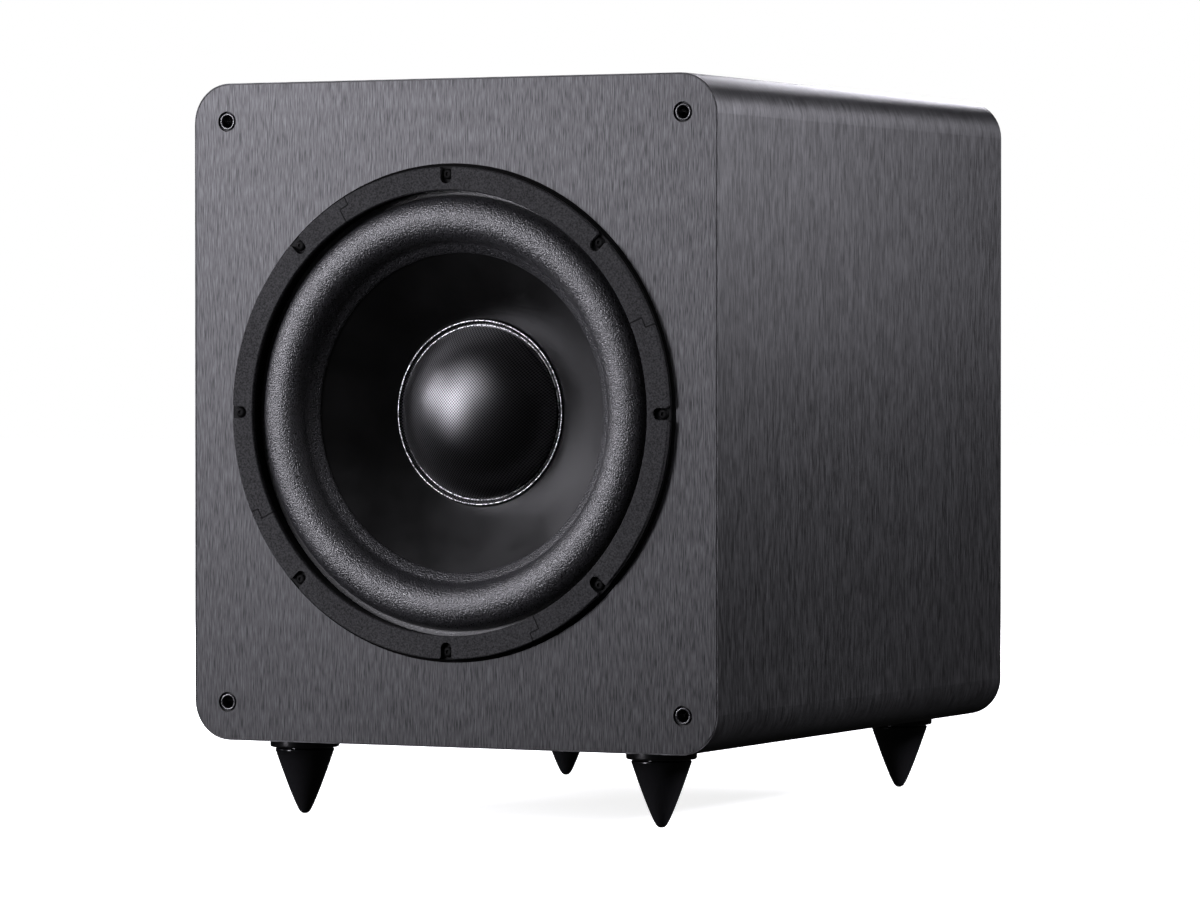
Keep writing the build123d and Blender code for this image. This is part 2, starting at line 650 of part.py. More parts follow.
def make_heatsink():
    """Finned aluminium extrusion on the outside of the plate."""
    low, high, wide = -62.0, 36.0, 204.0
    base_t, fin_t, count = 3.0, 1.8, 26
    tip = PLATE_BACK + 12.0
    z = (low + high) / 2
    sink = block(wide, high - low, 0, z, PLATE_BACK, PLATE_BACK + base_t)
    for k in range(count):
        x = (wide - fin_t) * (k / (count - 1) - 0.5)
        sink += block(fin_t, high - low, x, z, PLATE_BACK + base_t - 0.5, tip)
    save("heatsink", sink)


def make_electronics():
    """Boards, supply and output devices inside the cabinet, all carried by the plate."""
    board_z = 35.0
    board_back = BOARD_DEPTH + BOARD_SHEET
    save("amp_board", block(180, 100, 0, board_z, BOARD_DEPTH, board_back))
    corners = [(x, board_z + dz) for x in (-84, 84) for dz in (-44, 44)]
    posts = [rod(3.0, x, z, board_back, PLATE_FRONT) for x, z in corners]
    save("board_standoffs", *posts)
    cans = [rod(15.0, x, board_z + 20, BOARD_DEPTH - 45, BOARD_DEPTH) for x in (-60, -24)]
    save("capacitors", *[fillet(can.edges().sort_by(Axis.Y)[0], 1.5) for can in cans])
    devices = [block(16, 20, x, 2, PLATE_FRONT - 5, PLATE_FRONT) for x in (-66, -22, 22, 66)]
    save("power_transistors", *devices)
    toroid = turned(Pos(36, PLATE_FRONT - 22.5) * RectangleRounded(28, 45, 9), TOROID_X, TOROID_Z)
    save("transformer", toroid)
    save("control_board", block(190, 34, -10, CONTROL_Z, CONTROL_BOARD_BACK - BOARD_SHEET,
                                CONTROL_BOARD_BACK))


def make_controls():
    """Potentiometer and switch housings, the two knobs and the two slide buttons."""
    housings = []
    middle = 445.0
    bush_back = PLATE_BACK + 2
    for name, x in (("volume_knob", VOLUME_X), ("crossover_knob", CROSSOVER_X)):
        pot = block(17, 17, x, CONTROL_Z, CONTROL_BOARD_BACK, PLATE_FRONT)
        pot += rod(POT_BUSH_R, x, CONTROL_Z, PLATE_FRONT - 1, bush_back)
        housings.append(pot - rod(SPINDLE_R + 0.06, x, CONTROL_Z, middle, bush_back))
        save(name, make_knob(x))
    for name, x in (("phase_slider", PHASE_X), ("mode_slider", MODE_X)):
        switch = block(16, 8, x, CONTROL_Z, CONTROL_BOARD_BACK, PLATE_FRONT)
        housings.append(switch - block(*SWITCH_SLOT, x, CONTROL_Z, middle, PLATE_FRONT))
        save(name, make_slider(x))
    save("control_housings", *housings)


def make_knob(x):
    """Fluted knob with a skirt, a pointer rib and a spindle that turns in the bush."""
    back = CABINET_D + REAR_REACH
    low = PLATE_BACK + 0.8
    knob = rod(11.0, x, CONTROL_Z, low, low + 2.2)
    grip = rod(9.2, x, CONTROL_Z, low + 1, back - 0.5)
    for k in range(20):
        dx, dz = polar(9.5, 18 * k)
        grip -= rod(0.7, x + dx, CONTROL_Z + dz, low + 2.2, back)
    knob += grip
    knob += block(1.4, 7.0, x, CONTROL_Z + 4.6, back - 1, back)
    knob -= rod(5.6, x, CONTROL_Z, low, PLATE_BACK + 2.6)
    return knob + rod(SPINDLE_R, x, CONTROL_Z, SPINDLE_FRONT, PLATE_BACK + 4)


def make_slider(x):
    """Ribbed slide button, resting at one end of its slot."""
    top = PLATE_BACK + 2.5
    rest_x = x - 2
    button = block(5.0, 4.0, rest_x, CONTROL_Z, SPINDLE_FRONT, top)
    for dx in (-1.3, 0, 1.3):
        button -= block(0.5, 4.0, rest_x + dx, CONTROL_Z, top - 0.4, top)
    return button


def make_jacks():
    """Phono sockets for the line inputs and outputs, and the status lamp."""
    collar_r = 6.2
    collar_back = PLATE_BACK + 1.2
    rim = PLATE_BACK + 9.0
    insulator = rim - 0.8
    pin_hole_r = 1.65
    section = outline((0, PLATE_FRONT - 8), (PHONO_R, PLATE_FRONT - 8), (PHONO_R, PLATE_BACK),
                      (collar_r, PLATE_BACK),
                      (collar_r, collar_back), (PHONO_R, collar_back), (PHONO_R, rim), (PHONO_R - 0.65, rim),
                      (PHONO_R - 0.65, insulator), (pin_hole_r, insulator), (pin_hole_r, PLATE_BACK),
                      (0, PLATE_BACK))
    save("line_jacks", *[turned(section, x, JACK_Z) for x in JACK_XS])
    slope = LED_R * math.sqrt(0.5)
    dome = ThreePointArc((0, PLATE_BACK + LED_R), (slope, PLATE_BACK + slope), (LED_R, PLATE_BACK))
    rest = Polyline((LED_R, PLATE_BACK), (LED_R, SPINDLE_FRONT), (0, SPINDLE_FRONT), (0, PLATE_BACK + LED_R))
    save("status_led", turned(make_face(dome + rest), LED_X, CONTROL_Z))


def make_mains():
    """Mains inlet with its pins, the fuse drawer under it, and the rocker switch."""
    face = PLATE_BACK + 2.4
    socket_z = INLET_Z + 6
    drawer_z = INLET_Z - 12
    body = slab(Pos(INLET_X, INLET_Z) * RectangleRounded(32, 40, 2), PLATE_BACK, face)
    body += block(27, 34, INLET_X, INLET_Z, 427.0, PLATE_BACK)
    mouth = outline((-12.1, -8.1), (12.1, -8.1), (12.1, 4.1), (8.1, 8.1), (-8.1, 8.1), (-12.1, 4.1))
    body -= slab(Pos(INLET_X, socket_z) * mouth, face - 16, face)
    body -= block(22.6, 7.6, INLET_X, drawer_z, 433.0, face)
    pins = [block(2, 4, INLET_X + dx, socket_z + dz, 425.0, face - 2) for dx, dz in ((-7, -2), (0, 2),
                                                                                     (7, -2))]
    for pin in pins:
        body -= pin
    save("mains_inlet", body)
    save("inlet_pins", *pins)
    drawer = block(22.0, 7.0, INLET_X, drawer_z, 435.0, face + 0.8)
    save("fuse_drawer", drawer - block(9.0, 1.2, INLET_X, drawer_z + 2.9, face - 1.5, face + 0.8))
    frame = slab(Pos(ROCKER_X, ROCKER_Z) * RectangleRounded(18, 25, 1.5), PLATE_BACK, PLATE_BACK + 2)
    frame += block(14.8, 21.8, ROCKER_X, ROCKER_Z, 437.0, PLATE_BACK)
    frame -= block(12.4, 19.0, ROCKER_X, ROCKER_Z, 445.0, PLATE_BACK + 2)
    pivot = Pos(ROCKER_X, FRONT_Y + PLATE_BACK, MID_Z + ROCKER_Z)
    save("rocker_frame", frame - pivot * Rot(0, 90, 0) * Cylinder(1.56, 20.0))
    save("power_rocker", pivot * make_rocker())


def make_rocker():
    """Rocker about its pivot, tipped to its off position; its ends are round about the pivot."""
    section = Circle(9.2) & outline((-9.2, 4.0), (0, 1.4), (9.2, 4.0), (9.2, -6.0), (-9.2, -6.0))
    plane = Plane(origin=(-5.9, 0, 0), x_dir=(0, 0, 1), z_dir=(1, 0, 0))
    rocker = extrude(plane * mirror(section, Plane.XZ), amount=11.8)
    pins = Rot(0, 90, 0) * Cylinder(1.5, 13.6)
    return Rot(-10, 0, 0) * (rocker + pins)


make_panels()
make_baffle()
make_back_panel()
make_skins()
make_braces()
make_wadding()
make_feet()
make_grille_sockets()
make_trim()
make_screws()
make_basket()
make_driver_gasket()
make_magnet_system()
make_terminal_strip()
make_surround()
make_cone()
make_dust_cap()
make_spider()
make_voice_coil()
make_leads()
make_plate()
make_heatsink()
make_electronics()
make_controls()
make_jacks()
make_mains()
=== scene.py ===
import math

import bmesh
import bpy
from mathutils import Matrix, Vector


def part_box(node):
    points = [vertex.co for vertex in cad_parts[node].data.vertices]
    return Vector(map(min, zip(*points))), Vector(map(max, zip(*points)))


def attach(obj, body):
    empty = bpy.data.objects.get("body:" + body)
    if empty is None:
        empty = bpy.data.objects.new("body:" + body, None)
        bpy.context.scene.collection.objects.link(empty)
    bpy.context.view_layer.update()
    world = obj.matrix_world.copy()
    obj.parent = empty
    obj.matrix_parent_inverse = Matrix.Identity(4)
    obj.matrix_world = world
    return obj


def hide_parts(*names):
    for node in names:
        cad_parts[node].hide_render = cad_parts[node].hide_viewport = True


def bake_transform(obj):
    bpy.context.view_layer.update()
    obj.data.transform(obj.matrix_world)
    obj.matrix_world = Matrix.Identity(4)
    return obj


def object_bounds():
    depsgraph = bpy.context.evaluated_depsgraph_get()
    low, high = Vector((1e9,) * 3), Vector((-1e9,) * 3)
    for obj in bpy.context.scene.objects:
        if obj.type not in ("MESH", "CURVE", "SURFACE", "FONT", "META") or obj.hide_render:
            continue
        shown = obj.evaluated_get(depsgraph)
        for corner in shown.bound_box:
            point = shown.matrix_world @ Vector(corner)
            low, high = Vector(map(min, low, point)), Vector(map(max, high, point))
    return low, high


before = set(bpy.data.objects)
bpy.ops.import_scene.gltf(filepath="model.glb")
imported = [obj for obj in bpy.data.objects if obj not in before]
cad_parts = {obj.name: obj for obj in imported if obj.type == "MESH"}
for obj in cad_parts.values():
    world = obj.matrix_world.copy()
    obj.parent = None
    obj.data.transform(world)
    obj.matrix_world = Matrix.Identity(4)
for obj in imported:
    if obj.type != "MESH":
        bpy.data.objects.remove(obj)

# A powered subwoofer: black foil-wrapped cabinet on spikes, a large driver with a four-piece trim ring,
# and a plate amplifier at the back. Metres, in the row frame: -Y is the front, +Z is up.

CAD_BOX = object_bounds()
MM = 0.001

# Places that the pieces below are built from, all read from the frame.
BAFFLE_LOW, BAFFLE_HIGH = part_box("front_skin")
FRONT_Y = BAFFLE_LOW.y
MID_Z = (BAFFLE_LOW.z + BAFFLE_HIGH.z) / 2
PLATE_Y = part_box("amp_plate")[1].y

# Controls on the amplifier's plate, in millimetres from the middle of the cabinet; z is up.
CONTROL_Z = 113.0
VOLUME_X = 62.0
CROSSOVER_X = 12.0
PHASE_X = -38.0
MODE_X = -72.0
JACK_Z = 68.0
JACK_XS = (72.0, 50.0, 8.0, -14.0)

# Stepped joints of the trim ring, where the shade in the gaps is painted as dark lines: degrees from -180
# to 180, counter-clockwise from the right.
SEAM_ANGLES = (22.3, 119.3, 205.7 - 360, 294.7 - 360)
SEAM_STEP = math.radians(1.27)
SEAM_R = 147.0 * MM
# Half the width of the painted shade line along each joint, in metres.
SEAM_SHADE_HALF = 0.45 * MM

# Cone and surround, in millimetres.
CONE_R = 106.2             # where the front of the cone meets the surround
CONE_DEPTH = 9.5           # how far that is behind the front
CONE_SLOPE = 0.642
NECK_R = 25.95
RUBBER_T = 1.2
FLANGE_STEP_R = 135.3      # outside this the surround is its flat flange, painted pale grey as a highlight

# Foil: streaks per metre across the grain, and along it.
FRONT_STREAK = 1450.0
SIDE_STREAK = 1100.0
GRAIN_LENGTH = 90.0
FOIL_COLOUR = (0.044, 0.044, 0.0452)

SPIKES = ("spike_front_left", "spike_front_right", "spike_rear_left", "spike_rear_right")
LIGHT_TONE = (1.0, 0.98, 1.07)
TAU = 2 * math.pi


# ------------------------------------------------------------------ mesh helpers
def arc(centre_r, centre_d, radius, start, stop, count=16):
    """Points of (radius, depth) along an arc; angles in degrees, 0 outwards and 90 to the back."""
    points = []
    for k in range(count + 1):
        a = math.radians(start + (stop - start) * k / count)
        points.append((centre_r + radius * math.cos(a), centre_d + radius * math.sin(a)))
    return points


def new_piece(name, mesh, body, material, smooth_angle=35):
    """Links a mesh as a named piece on a body and its material."""
    piece = bpy.data.objects.new(name, mesh)
    bpy.context.scene.collection.objects.link(piece)
    mesh.polygons.foreach_set("use_smooth", [True] * len(mesh.polygons))
    mesh.set_sharp_from_angle(angle=math.radians(smooth_angle))
    mesh.materials.append(material)
    if body is not None:
        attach(piece, body)
    return piece


def finished_mesh(bm, name):
    """Mesh of a bmesh, with its faces turned outwards."""
    bmesh.ops.recalc_face_normals(bm, faces=bm.faces)
    mesh = bpy.data.meshes.new(name)
    bm.to_mesh(mesh)
    bm.free()
    return mesh


def turned_mesh(name, profile, steps=256, closed=True, place=None):
    """Surface of revolution from (radius, height) pairs in millimetres.

    place turns a radius, an angle and a height into a point.
    """
    place = place or driver_point
    bm = bmesh.new()
    rings = []
    for radius, height in profile:
        if radius < 1e-6:
            rings.append([bm.verts.new(place(0.0, 0.0, height))])
        else:
            rings.append([bm.verts.new(place(radius, TAU * k / steps, height)) for k in range(steps)])
    following = rings[1:] + ([rings[0]] if closed else [])
    for one, two in zip(rings, following):
        join_rings(bm, one, two, steps)
    return finished_mesh(bm, name)


def join_rings(bm, one, two, steps):
    """Faces between two rings, either of which may be a single point on the axis."""
    if len(one) == 1 and len(two) == 1:
        return
    for k in range(steps):
        after = (k + 1) % steps
        if len(one) == 1:
            bm.faces.new((one[0], two[k], two[after]))
        elif len(two) == 1:
            bm.faces.new((one[k], two[0], one[after]))
        else:
            bm.faces.new((one[k], two[k], two[after], one[after]))


def driver_point(radius, angle, depth):
    """Point at a radius, an angle about the driver's axis and a depth behind the front, in mm."""
    x = radius * math.cos(angle) * MM
    z = radius * math.sin(angle) * MM
    return Vector((x, FRONT_Y + depth * MM, MID_Z + z))


def upright_point(centre_x, centre_y):
    """A place function for pieces turned about an upright axis."""
    def place(radius, angle, height):
        x = radius * math.cos(angle) * MM
        y = radius * math.sin(angle) * MM
        return Vector((centre_x + x, centre_y + y, height * MM))
    return place


def behind_plate(centre_x, centre_z):
    """A place function for pieces turned about an axis square to the amplifier's plate."""
    def place(radius, angle, height):
        x = (centre_x + radius * math.cos(angle)) * MM
        z = (centre_z + radius * math.sin(angle)) * MM
        return Vector((x, PLATE_Y + height * MM, MID_Z + z))
    return place


def strip_mesh(name, corners_list, low=-0.02, high=0.04):
    """Thin flat marks on the plate: each is a polygon of (x, z) in mm, from low to high above it."""
    bm = bmesh.new()
    for corners in corners_list:
        lower = [bm.verts.new((x * MM, PLATE_Y + low * MM, MID_Z + z * MM)) for x, z in corners]
        upper = [bm.verts.new((x * MM, PLATE_Y + high * MM, MID_Z + z * MM)) for x, z in corners]
        bm.faces.new(upper)
        bm.faces.new(lower[::-1])
        count = len(corners)
        for k in range(count):
            after = (k + 1) % count
            bm.faces.new((lower[k], lower[after], upper[after], upper[k]))
    return finished_mesh(bm, name)


# ------------------------------------------------------------------ material helpers
class Finish:
    """A Principled material with short calls to add nodes to it."""

    def __init__(self, name, colour, roughness, metallic=0.0, specular=0.5, coat=0.0):
        self.material = bpy.data.materials.new(name)
        self.material.use_nodes = True
        self.tree = self.material.node_tree
        self.shader = self.tree.nodes["Principled BSDF"]
        self.colour = colour
        self.shader.inputs["Base Color"].default_value = (*colour, 1.0)
        self.shader.inputs["Roughness"].default_value = roughness
        self.shader.inputs["Metallic"].default_value = metallic
        self.shader.inputs["Specular IOR Level"].default_value = specular
        self.shader.inputs["Coat Weight"].default_value = coat
        self.shader.inputs["Coat Roughness"].default_value = 0.1
        self.coordinates = self.add("ShaderNodeTexCoord").outputs["Object"]

    def add(self, kind, **settings):
        """New node of a kind, with some of its settings."""
        node = self.tree.nodes.new(kind)
        for key, value in settings.items():
            setattr(node, key, value)
        return node

    def link(self, output, socket):
        self.tree.links.new(output, socket)

    def stretched(self, scale):
        """Object coordinates scaled along each axis, for streaks and weaves."""
        mapping = self.add("ShaderNodeMapping")
        mapping.inputs["Scale"].default_value = scale
        self.link(self.coordinates, mapping.inputs["Vector"])
        return mapping.outputs["Vector"]

    def noise(self, scale, detail=4.0, vector=None, roughness=0.55):
        """Noise from about 0.3 to 0.7, whose spots are 1 / scale metres wide."""
        node = self.add("ShaderNodeTexNoise")
        node.inputs["Scale"].default_value = scale
        node.inputs["Detail"].default_value = detail
        node.inputs["Roughness"].default_value = roughness
        self.link(vector or self.coordinates, node.inputs["Vector"])
        return node.outputs["Fac"]

    def spread(self, value, low, high, start=0.3, stop=0.7):
        """Maps the middle of a noise onto a range."""
        node = self.add("ShaderNodeMapRange")
        node.inputs["From Min"].default_value = start
        node.inputs["From Max"].default_value = stop
        node.inputs["To Min"].default_value = low
        node.inputs["To Max"].default_value = high
        self.link(value, node.inputs["Value"])
        return node.outputs["Result"]

    def math(self, operation, one, two=None, amount=None):
        """One math step on a value, with a second value or a fixed amount."""
        node = self.add("ShaderNodeMath", operation=operation)
        self.link(one, node.inputs[0])
        if two is not None:
            self.link(two, node.inputs[1])
        elif amount is not None:
            node.inputs[1].default_value = amount
        return node.outputs[0]

    def band(self, axis, centre, half):
        """1 within half of a place along an axis and 0 elsewhere, in metres."""
        split = self.add("ShaderNodeSeparateXYZ")
        self.link(self.coordinates, split.inputs[0])
        return self.near(split.outputs[axis], centre, half)

    def near(self, value, centre, half):
        """1 where a value is within half of a centre and 0 elsewhere."""
        node = self.add("ShaderNodeMath", operation="COMPARE")
        self.link(value, node.inputs[0])
        node.inputs[1].default_value = centre
        node.inputs[2].default_value = half
        return node.outputs[0]

    def radius(self):
        """Distance from the driver's axis, in metres."""
        flat = self.add("ShaderNodeVectorMath", operation="MULTIPLY_ADD")
        self.link(self.coordinates, flat.inputs[0])
        flat.inputs[1].default_value = (1.0, 0.0, 1.0)
        flat.inputs[2].default_value = (0.0, 0.0, -MID_Z)
        length = self.add("ShaderNodeVectorMath", operation="LENGTH")
        self.link(flat.outputs["Vector"], length.inputs[0])
        return length.outputs["Value"]

    def mark(self, mask, colour):
        """Lays a second colour over the first where a mask is 1."""
        over = self.add("ShaderNodeMix", data_type="RGBA")
        base = self.shader.inputs["Base Color"]
        self.link(base.links[0].from_socket, over.inputs["A"])
        over.inputs["B"].default_value = (*colour, 1.0)
        self.link(mask, over.inputs["Factor"])
        self.link(over.outputs["Result"], base)

    def tint(self, value, dark, light):
        """Base colour between two shades of the finish's colour, driven by a value from 0 to 1."""
        ramp = self.add("ShaderNodeMix", data_type="RGBA")
        ramp.inputs["A"].default_value = (*[part * dark for part in self.colour], 1.0)
        ramp.inputs["B"].default_value = (*[part * light for part in self.colour], 1.0)
        self.link(value, ramp.inputs["Factor"])
        self.link(ramp.outputs["Result"], self.shader.inputs["Base Color"])

    def rough(self, value, low, high):
        """Roughness from low to high over the middle of a noise."""
        self.link(self.spread(value, low, high), self.shader.inputs["Roughness"])

    def bump(self, value, height, strength=1.0):
        """Relief of a real height, in metres; several calls stack."""
        node = self.add("ShaderNodeBump")
        node.inputs["Strength"].default_value = strength
        node.inputs["Distance"].default_value = height
        self.link(value, node.inputs["Height"])
        normal = self.shader.inputs["Normal"]
        if normal.is_linked:
            self.link(normal.links[0].from_socket, node.inputs["Normal"])
        self.link(node.outputs["Normal"], normal)


def mixed(finish, one, two, share):
    """Sum of two values, of which the first has a share from 0 to 1."""
    first = finish.math("MULTIPLY", one, amount=share)
    second = finish.math("MULTIPLY", two, amount=1 - share)
    return finish.math("ADD", first, second)


def foil(name, scale, across_axis):
    """Black brushed foil; scale is high across the streaks and low along them."""
    finish = Finish(name, FOIL_COLOUR, 0.42, metallic=0.8)
    fine = finish.noise(1.0, 2.0, finish.stretched(scale), 0.6)
    broad_scale = tuple(part * 0.4 for part in scale)
    broad = finish.noise(1.0, 2.0, finish.stretched(broad_scale), 0.5)
    cloud = finish.noise(9.0, 2.0)
    streaks = mixed(finish, fine, broad, 0.85)
    finish.tint(finish.spread(streaks, 0.0, 1.0, 0.36, 0.64), 0.42, 1.68)
    finish.rough(mixed(finish, streaks, cloud, 0.8), 0.38, 0.47)
    finish.bump(streaks, 0.1 * MM, 0.5)
    across = finish.add("ShaderNodeCombineXYZ")
    across.inputs[across_axis].default_value = 1.0
    finish.link(across.outputs["Vector"], finish.shader.inputs["Tangent"])
    finish.shader.inputs["Anisotropic"].default_value = 0.55
    return finish.material


def grained(name, colour, roughness, grain_mm, height_mm, spread=0.25, specular=0.5):
    """Moulded, cast or powder-coated surface with an even fine grain."""
    finish = Finish(name, colour, roughness, specular=specular)
    grain = finish.noise(1.0 / (grain_mm * MM), 2.0)
    cloud = finish.noise(24.0, 3.0)
    finish.tint(finish.spread(grain, 0.0, 1.0), 1 - spread, 1 + spread)
    finish.rough(cloud, max(roughness - 0.06, 0.05), roughness + 0.06)
    finish.bump(grain, height_mm * MM, 0.6)
    return finish.material


def metal(name, colour, roughness, brush=(300.0, 300.0, 300.0)):
    """Metal with fine tool marks along the axis of the smallest scale."""
    finish = Finish(name, colour, roughness, metallic=1.0)
    marks = finish.noise(1.0, 3.0, finish.stretched(brush))
    cloud = finish.noise(60.0, 3.0)
    finish.tint(finish.spread(cloud, 0.0, 1.0), 0.88, 1.06)
    finish.rough(marks, max(roughness - 0.05, 0.03), roughness + 0.07)
    finish.bump(marks, 0.01 * MM, 0.4)
    return finish.material


def speckled_rubber():
    """Satin rubber of the surround, with a fine bright speckle and a painted highlight: the flat flange
    is painted pale grey to stand for the light it catches.
    """
    finish = Finish("surround_rubber", (0.014, 0.014, 0.0155), 0.48, specular=1.0)
    speck = finish.noise(1080.0, 1.0)
    cloud = finish.noise(40.0, 3.0)
    finish.tint(finish.spread(speck, 0.0, 1.0, 0.38, 0.62), 0.3, 2.0)
    # Painted highlight: outside FLANGE_STEP_R the base colour is pale grey, standing in for light falling
    # on the flange.
    painted_highlight_band = finish.math("GREATER_THAN", finish.radius(), amount=FLANGE_STEP_R * MM)
    finish.mark(painted_highlight_band, (0.22, 0.22, 0.22))
    finish.rough(mixed(finish, speck, cloud, 0.9), 0.24, 0.54)
    finish.bump(speck, 0.7 * MM, 0.9)
    return finish.material


def painted_seam_shade(finish):
    """Mask of painted shade: 1 along the stepped joints between the four pieces of the trim ring, where
    the gaps fall into shadow, and 0 elsewhere.
    """
    split = finish.add("ShaderNodeSeparateXYZ")
    finish.link(finish.coordinates, split.inputs[0])
    height = finish.math("SUBTRACT", split.outputs["Z"], amount=MID_Z)
    angle = finish.math("ARCTAN2", height, split.outputs["X"])
    radius = finish.radius()
    outside = finish.math("GREATER_THAN", radius, amount=SEAM_R)
    inside = finish.math("LESS_THAN", radius, amount=SEAM_R)
    on_step = finish.near(radius, SEAM_R, SEAM_SHADE_HALF)
    lines = []
    for degrees in SEAM_ANGLES:
        seam = math.radians(degrees)
        outer_end = finish.near(angle, seam - SEAM_STEP, SEAM_SHADE_HALF / SEAM_R)
        inner_end = finish.near(angle, seam + SEAM_STEP, SEAM_SHADE_HALF / SEAM_R)
        step = finish.near(angle, seam, SEAM_STEP)
        lines.append(finish.math("MULTIPLY", outer_end, outside))
        lines.append(finish.math("MULTIPLY", inner_end, inside))
        lines.append(finish.math("MULTIPLY", step, on_step))
    seam_shade = lines[0]
    for line in lines[1:]:
        seam_shade = finish.math("MAXIMUM", seam_shade, line)
    return seam_shade


def trim_rubber():
    """Dull moulded rubber of the trim ring, with near-black painted shade along its stepped joints."""
    finish = Finish("trim_rubber", (0.026, 0.026, 0.027), 0.62, specular=0.12)
    grain = finish.noise(900.0, 2.0)
    finish.tint(finish.spread(grain, 0.0, 1.0), 0.3, 1.7)
    finish.rough(finish.noise(24.0, 3.0), 0.56, 0.68)
    finish.bump(grain, 0.45 * MM, 0.6)
    # Painted shade: near-black lines over the joints stand for the shadow in the gaps between the pieces.
    finish.mark(painted_seam_shade(finish), (0.001, 0.001, 0.001))
    return finish.material


def woven_cap():
    """Lacquered woven cloth of the dust cap."""
    finish = Finish("cap_cloth", (0.080, 0.080, 0.082), 0.30, metallic=1.0)
    pitch = 2.0 * MM
    split = finish.add("ShaderNodeSeparateXYZ")
    finish.link(finish.coordinates, split.inputs[0])
    threads = []
    for axis in ("X", "Z"):
        turns = finish.math("MULTIPLY", split.outputs[axis], amount=TAU / pitch)
        threads.append(finish.math("SINE", turns))
    weave = finish.math("MULTIPLY", threads[0], threads[1])
    relief = finish.spread(weave, 0.0, 1.0, -1.0, 1.0)
    fuzz = finish.noise(2500.0, 2.0)
    finish.tint(relief, 0.05, 2.1)
    finish.rough(fuzz, 0.27, 0.34)
    finish.bump(relief, 0.08 * MM, 0.9)
    finish.bump(fuzz, 0.05 * MM, 0.5)
    return finish.material


def bead_metal():
    """Bright metal of the two beads, finely pitted so that it glitters instead of shining evenly."""
    finish = Finish("polished_bead", (0.62, 0.62, 0.63), 0.34, metallic=1.0)
    pits = finish.noise(1000.0, 1.0)
    finish.tint(finish.spread(pits, 0.0, 1.0, 0.42, 0.58), 0.12, 1.6)
    finish.rough(pits, 0.28, 0.42)
    finish.bump(pits, 0.2 * MM, 0.4)
    return finish.material


def knob_plastic(name, pointer_x=None):
    """Satin moulded plastic; a knob's pointer has a line of pale paint along it."""
    finish = Finish(name, (0.016, 0.016, 0.016), 0.42)
    grain = finish.noise(2500.0, 2.0)
    cloud = finish.noise(30.0, 3.0)
    finish.tint(finish.spread(grain, 0.0, 1.0), 0.8, 1.2)
    finish.rough(cloud, 0.36, 0.48)
    finish.bump(grain, 0.03 * MM, 0.6)
    if pointer_x is not None:
        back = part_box("volume_knob")[1].y
        along = finish.band("X", pointer_x, 0.45 * MM)
        upper = finish.band("Z", MID_Z + (CONTROL_Z + 4.6) * MM, 3.2 * MM)
        proud = finish.band("Y", back, 0.3 * MM)
        line = finish.math("MULTIPLY", finish.math("MULTIPLY", along, upper), proud)
        finish.mark(line, (0.75, 0.75, 0.73))
    return finish.material


def lamp_lens():
    """Blue lens, lit a little from inside."""
    finish = Finish("led_lens", (0.05, 0.16, 0.8), 0.12, coat=0.5)
    haze = finish.noise(900.0, 2.0)
    finish.tint(finish.spread(haze, 0.0, 1.0), 0.9, 1.15)
    finish.rough(haze, 0.08, 0.16)
    finish.shader.inputs["Emission Color"].default_value = (0.08, 0.25, 1.0, 1.0)
    finish.shader.inputs["Emission Strength"].default_value = 0.8
    return finish.material


def board_edge():
    """Bare fibreboard."""
    finish = Finish("fibreboard", (0.36, 0.26, 0.17), 0.8, specular=0.25)
    fibre = finish.noise(900.0, 4.0)
    finish.tint(finish.spread(fibre, 0.0, 1.0), 0.75, 1.2)
    finish.rough(fibre, 0.7, 0.9)
    finish.bump(fibre, 0.2 * MM, 0.5)
    return finish.material


def cloth(name, colour, scale, height_mm):
    """Plain soft cloth, felt or foam."""
    finish = Finish(name, colour, 0.9, specular=0.2)
    finish.shader.inputs["Sheen Weight"].default_value = 0.3
    tuft = finish.noise(scale, 5.0)
    finish.tint(finish.spread(tuft, 0.0, 1.0), 0.7, 1.25)
    finish.rough(tuft, 0.8, 1.0)
    finish.bump(tuft, height_mm * MM, 0.8)
    return finish.material


# ------------------------------------------------------------------ camera, light, floor
def make_camera():
    """Long lens, turned a little to the right of the front, at the height of the driver."""
    data = bpy.data.cameras.new("camera")
    data.sensor_width = 36.0
    data.lens = 169.22
    data.clip_end = 60.0
    camera = bpy.data.objects.new("camera", data)
    camera.location = (1.6347, FRONT_Y - 3.0914, MID_Z + 0.0340)
    camera.rotation_euler = (math.radians(89.068), 0.0, math.radians(26.35))
    bpy.context.scene.collection.objects.link(camera)
    bpy.context.scene.camera = camera


def softbox(name, place, aim, width, height, power):
    """Rectangular soft light at a place, facing a point; metres and watts."""
    data = bpy.data.lights.new(name, "AREA")
    data.shape = "RECTANGLE"
    data.size = width
    data.size_y = height
    data.energy = power
    data.color = LIGHT_TONE
    lamp = bpy.data.objects.new(name, data)
    lamp.location = place
    lamp.visible_camera = False
    lamp.rotation_euler = (Vector(aim) - Vector(place)).to_track_quat("-Z", "Y").to_euler()
    bpy.context.scene.collection.objects.link(lamp)


def from_driver(azimuth, elevation, distance):
    """Point seen from the middle of the driver; azimuth is in degrees to the right of straight ahead."""
    turn = math.radians(azimuth)
    lift = math.radians(elevation)
    level = math.cos(lift)
    away = Vector((math.sin(turn) * level, -math.cos(turn) * level, math.sin(lift)))
    return Vector((0.0, FRONT_Y, MID_Z)) + away * distance


